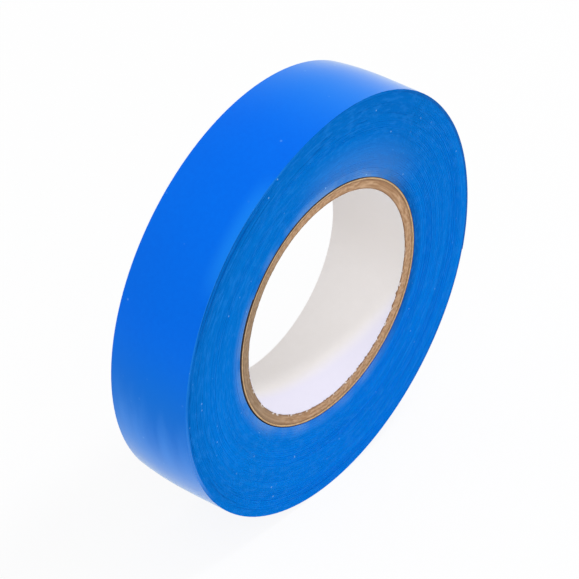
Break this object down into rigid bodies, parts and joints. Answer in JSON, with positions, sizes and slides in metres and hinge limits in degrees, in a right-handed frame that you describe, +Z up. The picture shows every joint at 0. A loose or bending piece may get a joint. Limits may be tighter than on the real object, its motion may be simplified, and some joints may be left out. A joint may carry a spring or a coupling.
{
  "type": "electrical tape roll",
  "caption": "Roll of blue PVC electrical tape on a paper core with a white-lined bore, standing on its rim; the free end of the strip peels up.",
  "frame": {"origin": "on the ground under the middle of the roll, where it stands on its rim", "axes": "+Y along the roll's axis, from the front side face to the back one; +Z up; +X towards the side with the free end"},
  "size_m": [0.071, 0.015, 0.0705],
  "materials": {
    "white_liner_paper": "uncoated white paper",
    "kraft_board": "raw cut kraft board",
    "pale_kraft_ply": "raw pale kraft ply",
    "tape_edges": "satin slit edges of wound film",
    "tape_film": "smooth satin PVC film"
  },
  "bodies": {
    "roll": {"core_liner": "white_liner_paper", "core_board": "kraft_board", "core_outer_ply": "pale_kraft_ply", "tape_pack": "tape_edges", "outer_tape_turns": "tape_film"},
    "free_end": {"free_end_tab": "tape_film"}
  },
  "joints": [
    {"name": "peel", "type": "hinge", "parent": "roll", "child": "free_end", "pos_m": [0.03069, 0, 0.05272], "axis": [0, -1, 0], "range_deg": [0, 150]}
  ]
}
